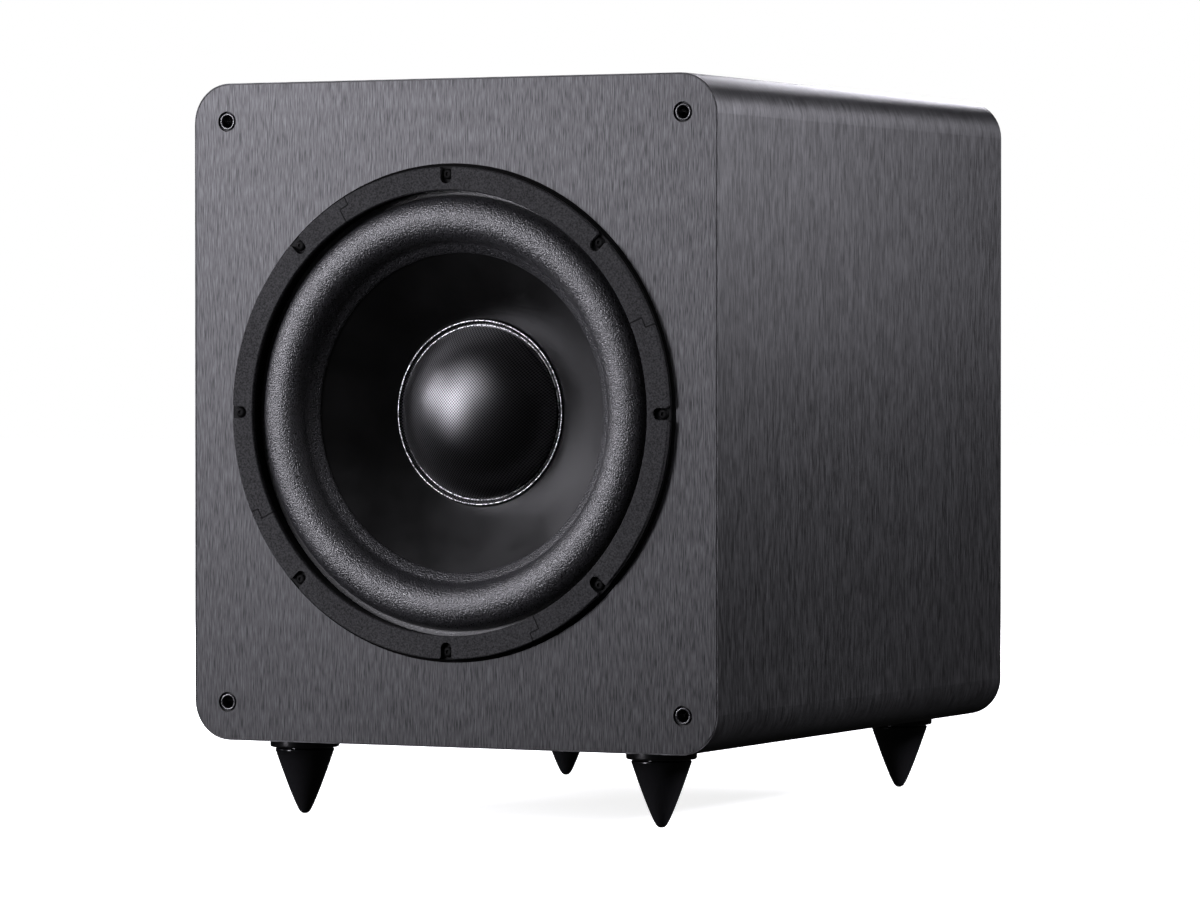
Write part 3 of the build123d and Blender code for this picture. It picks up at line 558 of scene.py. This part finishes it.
def make_world():
    """White to the camera and nearly black to everything else, as in a studio with dark walls."""
    world = bpy.data.worlds.new("studio")
    bpy.context.scene.world = world
    world.use_nodes = True
    tree = world.node_tree
    background = tree.nodes["Background"]
    background.inputs["Color"].default_value = (1.0, 1.0, 1.0, 1.0)
    path = tree.nodes.new("ShaderNodeLightPath")
    level = tree.nodes.new("ShaderNodeMapRange")
    level.inputs["To Min"].default_value = 0.012
    level.inputs["To Max"].default_value = 1.0
    tree.links.new(path.outputs["Is Camera Ray"], level.inputs["Value"])
    tree.links.new(level.outputs["Result"], background.inputs["Strength"])


def make_floor():
    """Pale floor that glows more away from the object, so that it runs into the background."""
    reach = 14.0
    corners = [(-reach, -reach, 0), (reach, -reach, 0), (reach, reach, 0), (-reach, reach, 0)]
    mesh = bpy.data.meshes.new("floor")
    mesh.from_pydata(corners, [], [(0, 1, 2, 3)])
    floor = bpy.data.objects.new("floor", mesh)
    bpy.context.scene.collection.objects.link(floor)
    finish = Finish("floor_paint", (0.8, 0.8, 0.8), 0.9, specular=0.1)
    finish.tint(finish.noise(3.0, 2.0), 0.99, 1.01)
    distance = finish.add("ShaderNodeVectorMath", operation="LENGTH")
    finish.link(finish.coordinates, distance.inputs[0])
    glow = finish.spread(distance.outputs["Value"], 0.86, 1.0, 0.3, 1.2)
    finish.shader.inputs["Emission Color"].default_value = (1.0, 1.0, 1.0, 1.0)
    finish.link(glow, finish.shader.inputs["Emission Strength"])
    mesh.materials.append(finish.material)
    floor.visible_glossy = False
    floor.visible_diffuse = False


def make_lights():
    """Soft studio lights: a key from the left, smaller ones above, to the right and behind."""
    middle = (0.0, FRONT_Y, MID_Z)
    panel = (0.0, 0.2, MID_Z)
    left_board = (CAD_BOX[0][0], 0.0, MID_Z)
    lid = (0.0, 0.0, CAD_BOX[1][2])
    softbox("key_left", from_driver(-36, 12, 2.2), middle, 0.4, 0.5, 15.0)
    softbox("key_low", from_driver(-40, 1, 2.2), middle, 0.4, 0.8, 16.8)
    softbox("far_left", from_driver(-64, 14, 2.0), middle, 0.35, 0.5, 12.5)
    softbox("edge_left", from_driver(-76, 5, 2.0), middle, 0.35, 0.5, 1.2)
    softbox("front_high", (-0.75, -1.4, 1.0), middle, 0.7, 0.5, 5.5)
    softbox("centre_high", from_driver(-16, 22, 2.0), middle, 0.6, 0.4, 4.5)
    softbox("side_near", (0.9, -0.1, 0.6), middle, 0.3, 0.3, 13.8)
    softbox("above_right", (0.75, -0.4, 0.9), middle, 0.5, 0.5, 1.0)
    softbox("right_near", (0.8, 0.9, 0.75), middle, 0.4, 0.3, 1.4)
    softbox("right_grazing", (0.75, 0.7, 0.45), middle, 0.3, 0.3, 0.7)
    softbox("left_side", (-1.5, 0.7, 0.6), left_board, 0.5, 0.5, 16.0)
    softbox("top_rear", (-0.8, 1.0, 1.7), lid, 0.6, 0.6, 14.0)
    softbox("back_left", (-1.4, 1.9, 0.9), panel, 0.8, 0.8, 26.0)
    softbox("back_middle", (-0.45, 2.1, 0.95), panel, 0.5, 0.6, 22.0)


# ------------------------------------------------------------------ driver
def cone_depth(radius):
    """Depth of the cone's front face at a radius, in millimetres."""
    return CONE_DEPTH + (CONE_R - radius) * CONE_SLOPE


def make_surround(material):
    """Half-roll rubber edge between the cabinet at its flange and the cone at its band."""
    seat, crown = 7.35, -5.2
    rim_r, out_r, in_r, band_r = 139.0, 135.0, 106.5, 99.5
    toe = 8.05               # depth of the roll's inner foot
    edge, ease = 0.6, 1.9    # rounding of the band's inner edge, and of the foot
    mid, half = (out_r + in_r) / 2, (out_r - in_r) / 2
    inner = half - RUBBER_T
    rise = seat - crown
    over = [math.radians(7 + 166 * k / 40) for k in range(41)]
    band_depth = toe + (in_r - band_r) * CONE_SLOPE
    edge_depth = toe + (in_r - band_r - edge) * CONE_SLOPE

    outside = [(rim_r, seat + 0.3), (rim_r - 0.3, seat), (out_r + 1.2, seat), (out_r + 0.4, seat - 0.4)]
    outside += [(mid + half * math.cos(a), seat - rise * math.sin(a)) for a in over]
    outside += [(in_r - 0.9, toe + 0.2), (in_r - ease, toe + 1.1)]
    outside += [(band_r + edge, edge_depth - 0.15), (band_r, band_depth + 0.35)]
    inside = [(band_r, band_depth + RUBBER_T), (in_r - ease, toe + ease * CONE_SLOPE + RUBBER_T)]
    inside += [(in_r + 0.4, toe + RUBBER_T + 0.25)]
    inside += [(mid - inner * math.cos(a), seat + RUBBER_T - rise * math.sin(a)) for a in over]
    inside += [(out_r + 0.5, seat + RUBBER_T), (rim_r, seat + RUBBER_T)]
    mesh = turned_mesh("surround", outside + inside, 320)
    piece = new_piece("surround_roll", mesh, None, material, 60)
    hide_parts("surround")
    flex(piece)


def make_gasket(material):
    """Soft black seal that bulges out a little round the basket's flange."""
    hole_r, bulge_r, flange_back = 141.3, 154.7, -0.8
    section = [(hole_r, flange_back), (bulge_r - 0.5, flange_back - 0.15),
               (bulge_r - 0.1, flange_back + 0.1)]
    section += [(bulge_r, flange_back + 0.4), (bulge_r, -0.02), (hole_r, -0.02)]
    piece = new_piece("driver_seal", turned_mesh("seal", section, 320), "cabinet", material)
    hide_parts("driver_gasket")


def flex(piece):
    """Bakes a piece's placement into its mesh."""
    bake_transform(piece)


def make_spider(material):
    """Corrugated disc behind the cone."""
    depth, swing, t = 90.4, 2.0, 0.5
    start_r, end_r, rim_r = 31.0, 67.0, 82.5
    half_waves, count = 8, 96
    front = [(NECK_R, depth), (start_r, depth)]
    for k in range(1, count):
        share = k / count
        wave = swing * math.sin(math.pi * half_waves * share)
        front.append((start_r + (end_r - start_r) * share, depth - wave))
    front += [(end_r, depth), (rim_r, depth)]
    back = [(r, d + t) for r, d in reversed(front)]
    mesh = turned_mesh("spider", front + back, 128)
    piece = new_piece("spider_disc", mesh, None, material, 60)
    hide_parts("spider")
    flex(piece)


def make_tinsel(material):
    """Copy of the flexible leads with a material of its own."""
    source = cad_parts["tinsel_leads"]
    piece = bpy.data.objects.new("tinsel_flex", source.data.copy())
    bpy.context.scene.collection.objects.link(piece)
    piece.data.materials.clear()
    piece.data.materials.append(material)
    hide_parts("tinsel_leads")
    flex(piece)


def make_cone(material):
    """Smooth straight-sided cone with a short neck."""
    rim_r, mid_r, sleeve_r = 106.0, 60, 27.35
    thick, rim_thick, sleeve = 1.7, 1.6, 5
    radii = (rim_r, 104, 100, 94, 88, 80, 72, 64, 58, 50, 42, 34, 28, NECK_R)
    front = [(r, cone_depth(r)) for r in radii]
    foot = cone_depth(NECK_R) + sleeve
    back = [(NECK_R, foot), (sleeve_r, foot), (sleeve_r, cone_depth(sleeve_r) + thick)]
    back += [(mid_r, cone_depth(mid_r) + thick), (rim_r, cone_depth(rim_r) + rim_thick)]
    mesh = turned_mesh("cone", front + back, 256)
    piece = new_piece("cone_shell", mesh, "diaphragm", material)
    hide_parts("cone")


def make_cap(material):
    """Domed woven cap with a glued lip that lies along the cone."""
    ball, top, edge, lip_r, t = 71.9, 14.0, 53.9, 58.2, 0.8
    over = 1.2               # front of the lip, ahead of the cone
    half = math.degrees(math.asin(edge / ball))
    count = 40
    front = [(0.0, top)]
    for k in range(1, count + 1):
        a = math.radians(half * k / count)
        front.append((ball * math.sin(a), top + ball * (1 - math.cos(a))))
    lip = [(edge, cone_depth(edge) - over - 0.3), (edge + 0.4, cone_depth(edge + 0.4) - over)]
    lip += [(lip_r, cone_depth(lip_r) - over), (lip_r, cone_depth(lip_r) - 0.2)]
    lip += [(edge - t, cone_depth(edge - t) - 0.4)]
    back = [(r * (ball - t) / ball, d + t) for r, d in reversed(front[1:])] + [(0.0, top + t)]
    mesh = turned_mesh("cap", front + lip + back, 224, closed=False)
    piece = new_piece("dust_cap_weave", mesh, "diaphragm", material)
    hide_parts("dust_cap")


def make_cap_rings(material):
    """Two thin bright beads round the dust cap, each resting on its lip."""
    bead_r = 0.42
    lip_front = 1.2          # front of the lip, ahead of the cone
    for name, radius in (("cap_bead_inner", 54.8), ("cap_bead_outer", 57.6)):
        depth = cone_depth(radius) - lip_front - bead_r
        mesh = turned_mesh("bead", arc(radius, depth, bead_r, 0, 360, 14)[:-1], 320)
        piece = new_piece(name, mesh, "diaphragm", material, 80)
        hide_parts("cap_trim_rings")


# ------------------------------------------------------------------ feet
def upright_axis(node):
    """A place function for pieces turned about the upright axis of a node."""
    low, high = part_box(node)
    return upright_point((low.x + high.x) / 2, (low.y + high.y) / 2)


def make_spikes(material):
    """Black cones with a blunt tip, slightly bulging sides, a stud and a groove under the flange."""
    low_r, widening, low_z, tall, bulge = 3.5, 15.05, 1.9, 38.1, 0.87
    count = 24
    tip = [(0.0, 0.0), (0.9, 0.03), (1.7, 0.25), (2.5, 0.75), (3.1, 1.35)]
    side = [(low_r + widening * (k / count) ** bulge, low_z + tall * k / count) for k in range(count + 1)]
    rim = [(18.7, 40.5), (18.7, 41.1), (18.55, 41.45), (18.2, 41.6), (13.0, 41.6), (13.0, 42.4)]
    stud = [(4.0, 42.4), (4.0, 60.0), (3.0, 61.0), (0.0, 61.0)]
    for node in SPIKES:
        mesh = turned_mesh(node, tip + side + rim + stud, 96, closed=False, place=upright_axis(node))
        piece = new_piece(node.replace("spike", "spike_cone"), mesh, node, material, 30)
        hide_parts(node)


def make_foot_flanges(material):
    """Round flanges under the cabinet with a softened lower edge and a bore for the stud."""
    outer_r, low_z, soft, bore_r = 22.0, 42.5, 1.2, 4.05
    angles = [math.radians(90 - 15 * k) for k in range(7)]
    edge = [(outer_r - soft + soft * math.cos(a), low_z + soft - soft * math.sin(a)) for a in angles]
    top = [(outer_r, 47.6), (21.7, 48.0), (6.0, 48.0)]
    barrel = [(6.0, 64.0), (0.0, 64.0), (0.0, 63.0), (bore_r, 63.0)]
    section = [(bore_r, low_z)] + edge + top + barrel
    for number, node in enumerate(SPIKES, 1):
        mesh = turned_mesh("painted_highlight_band", section, 96, place=upright_axis(node))
        piece = new_piece(f"foot_flange_{number}", mesh, "cabinet", material, 30)
        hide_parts("foot_sockets")


# ------------------------------------------------------------------ amplifier panel
def make_jacks(shell_metal, red, white):
    """Four phono sockets: a plated shell with a washer, and an insulator, white and red in turn."""
    washer = [(4.15, -11.0), (4.15, 0.0), (6.2, 0.0), (6.2, 0.9), (5.9, 1.2), (4.15, 1.2)]
    mouth = [(4.15, 8.6), (4.05, 8.85), (3.85, 9.0), (3.65, 9.0), (3.5, 8.85)]
    bore = [(3.5, 0.6), (1.65, 0.6), (1.65, -3.0), (0.9, -3.0), (0.9, -11.0)]
    filler = [(3.5, 8.1), (2.1, 8.1), (1.75, 7.8), (1.7, 7.4), (1.7, 0.6), (3.5, 0.6)]
    for number, x in enumerate(JACK_XS, 1):
        place = behind_plate(x, JACK_Z)
        shell = turned_mesh("jack", washer + mouth + bore, 48, place=place)
        core = turned_mesh("jack_core", filler, 48, place=place)
        colour = white if number % 2 else red
        body_piece = new_piece(f"jack_shell_{number}", shell, "cabinet", shell_metal)
        core_piece = new_piece(f"jack_core_{number}", core, "cabinet", colour)
        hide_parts("line_jacks")
        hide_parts("line_jacks")


def make_dials(ink):
    """Printed tick marks round the two knobs, with a longer mark at each end and in the middle."""
    inner, short, tall, half = 12.4, 14.4, 15.6, 0.3
    for name, x in (("volume_marks", VOLUME_X), ("crossover_marks", CROSSOVER_X)):
        marks = []
        for step in range(11):
            turn = math.radians(-150 + 30 * step)
            outer = tall if step in (0, 5, 10) else short
            corners = []
            for radius, side in ((inner, -half), (outer, -half), (outer, half), (inner, half)):
                across = side * math.cos(turn) - radius * math.sin(turn)
                up = radius * math.cos(turn) + side * math.sin(turn)
                corners.append((x + across, CONTROL_Z + up))
            marks.append(corners)
        new_piece(name, strip_mesh(name, marks), "cabinet", ink)


def make_panel_lines(ink):
    """Thin printed lines that tie each pair of sockets and each slide switch together."""
    jack_line, switch_line, switch_half = JACK_Z + 10, CONTROL_Z + 7, 6
    thick, half, drop, gap = 0.5, 0.25, 2, 0.05
    spans = [(JACK_XS[1], JACK_XS[0], jack_line), (JACK_XS[3], JACK_XS[2], jack_line)]
    spans += [(x - switch_half, x + switch_half, switch_line) for x in (PHASE_X, MODE_X)]
    lines = []
    for left, right, z in spans:
        lines.append([(left, z), (right, z), (right, z + thick), (left, z + thick)])
        for x in (left, right):
            lower, upper = z - drop, z - gap
            lines.append([(x - half, lower), (x + half, lower), (x + half, upper), (x - half, upper)])
    new_piece("panel_lines", strip_mesh("panel_lines", lines), "cabinet", ink)


# ------------------------------------------------------------------ finishes on the CAD nodes
def paint(material, *nodes):
    """Gives CAD nodes a material in every slot they have."""
    for node in nodes:
        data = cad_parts[node].data
        if not data.materials:
            data.materials.append(material)
        for k in range(len(data.materials)):
            data.materials[k] = material


def paint_cabinet():
    """Boards, foil, brace, wadding and the grille's sockets."""
    paint(foil("front_foil", (FRONT_STREAK, FRONT_STREAK, GRAIN_LENGTH), "X"), "front_skin")
    paint(foil("side_foil", (GRAIN_LENGTH, SIDE_STREAK, GRAIN_LENGTH), "Y"), "side_wrap")
    paint(board_edge(), "top_panel", "bottom_panel", "left_panel", "right_panel",
          "brace_upright", "brace_crosspiece")
    paint(grained("back_paint", (0.022, 0.022, 0.023), 0.6, 1.2, 0.12), "back_panel", "front_baffle")
    paint(cloth("wadding_fibre", (0.62, 0.61, 0.57), 220.0, 1.5), "wadding")
    sockets = grained("socket_plastic", (0.03, 0.03, 0.032), 0.22, 0.8, 0.01, specular=1.0)
    paint(sockets, "grille_sockets")


def paint_driver():
    """The driver's pieces that keep their CAD shape."""
    paint(trim_rubber(), "trim_segment_1", "trim_segment_2", "trim_segment_3", "trim_segment_4")
    paint(grained("black_oxide", (0.002, 0.002, 0.002), 0.6, 0.6, 0.02, specular=0.1), "driver_screws")
    paint(grained("basket_coat", (0.003, 0.003, 0.003), 0.6, 0.7, 0.05, specular=0.12), "basket")
    paint(metal("former_foil", (0.8, 0.8, 0.82), 0.3), "coil_former")
    paint(metal("copper_winding", (0.75, 0.34, 0.16), 0.3, (20.0, 4000.0, 20.0)), "coil_winding")
    paint(metal("zinc_steel", (0.55, 0.56, 0.57), 0.35), "top_plate", "pole_yoke")
    paint(grained("ferrite", (0.05, 0.05, 0.055), 0.6, 1.0, 0.05), "magnet")
    paint(grained("boot_rubber", (0.025, 0.025, 0.025), 0.55, 0.7, 0.05), "magnet_boot")
    paint(grained("laminate", (0.3, 0.17, 0.08), 0.5, 0.6, 0.04), "terminal_strip")
    paint(grained("lead_sleeve", (0.25, 0.015, 0.015), 0.35, 0.8, 0.02), "driver_leads")


def paint_amplifier(foam):
    """The amplifier's plate, what stands on it, and its boards inside."""
    paint(foam, "amp_gasket")
    paint(grained("plate_coat", (0.026, 0.026, 0.028), 0.5, 0.45, 0.06), "amp_plate")
    paint(metal("black_zinc", (0.05, 0.05, 0.052), 0.3), "amp_screws")
    paint(metal("anodised", (0.045, 0.045, 0.048), 0.38, (900.0, 900.0, 40.0)), "heatsink")
    paint(grained("solder_mask", (0.015, 0.13, 0.05), 0.3, 1.2, 0.02), "amp_board", "control_board")
    paint(metal("post_brass", (0.78, 0.6, 0.3), 0.25), "board_standoffs")
    paint(grained("can_sleeve", (0.015, 0.02, 0.09), 0.3, 0.8, 0.01), "capacitors")
    paint(grained("epoxy_black", (0.025, 0.025, 0.025), 0.6, 0.5, 0.03), "power_transistors")
    paint(grained("winding_tape", (0.6, 0.45, 0.06), 0.3, 2.0, 0.2), "transformer")
    paint(grained("housing_plastic", (0.03, 0.03, 0.03), 0.5, 0.6, 0.03), "control_housings")
    paint(knob_plastic("volume_plastic", VOLUME_X * MM), "volume_knob")
    paint(knob_plastic("crossover_plastic", CROSSOVER_X * MM), "crossover_knob")
    paint(knob_plastic("slider_plastic"), "phase_slider", "mode_slider")
    paint(lamp_lens(), "status_led")
    inlet = grained("inlet_plastic", (0.014, 0.014, 0.014), 0.42, 0.7, 0.03)
    paint(inlet, "mains_inlet", "fuse_drawer", "rocker_frame")
    paint(metal("pin_nickel", (0.8, 0.78, 0.72), 0.2), "inlet_pins")
    paint(grained("rocker_plastic", (0.012, 0.012, 0.012), 0.45, 0.8, 0.03), "power_rocker")


def make_driver(foam):
    """The driver's pieces with a finer shape than in CAD."""
    make_gasket(foam)
    make_surround(speckled_rubber())
    make_cone(grained("cone_film", (0.0008, 0.0008, 0.0008), 0.34, 1.0, 0.06, spread=0.6, specular=0.7))
    make_cap(woven_cap())
    make_cap_rings(bead_metal())
    make_spider(cloth("spider_weave", (0.6, 0.42, 0.16), 1800.0, 0.2))
    make_tinsel(metal("tinsel_braid", (0.8, 0.6, 0.32), 0.35, (3000.0, 3000.0, 3000.0)))


def make_feet():
    """Four spikes and the flanges that they screw into."""
    make_spikes(grained("spike_gloss", (0.010, 0.010, 0.011), 0.16, 0.9, 0.004))
    make_foot_flanges(grained("flange_satin", (0.012, 0.012, 0.012), 0.3, 0.7, 0.02))


def make_panel_details():
    """Sockets and printed marks on the amplifier's plate."""
    gold = metal("jack_gold", (0.9, 0.68, 0.3), 0.32)
    red = grained("jack_red", (0.45, 0.01, 0.01), 0.5, 0.6, 0.01)
    white = grained("jack_white", (0.7, 0.7, 0.67), 0.5, 0.6, 0.01)
    make_jacks(gold, red, white)
    ink = grained("white_ink", (0.7, 0.7, 0.69), 0.5, 0.5, 0.01)
    make_dials(ink)
    make_panel_lines(ink)


make_camera()
make_world()
make_floor()
make_lights()
bpy.context.scene.view_settings.view_transform = "Standard"

soft_foam = grained("foam_strip", (0.003, 0.003, 0.003), 0.95, 0.5, 0.2, specular=0.1)
paint_cabinet()
paint_driver()
paint_amplifier(soft_foam)
make_driver(soft_foam)
make_feet()
make_panel_details()
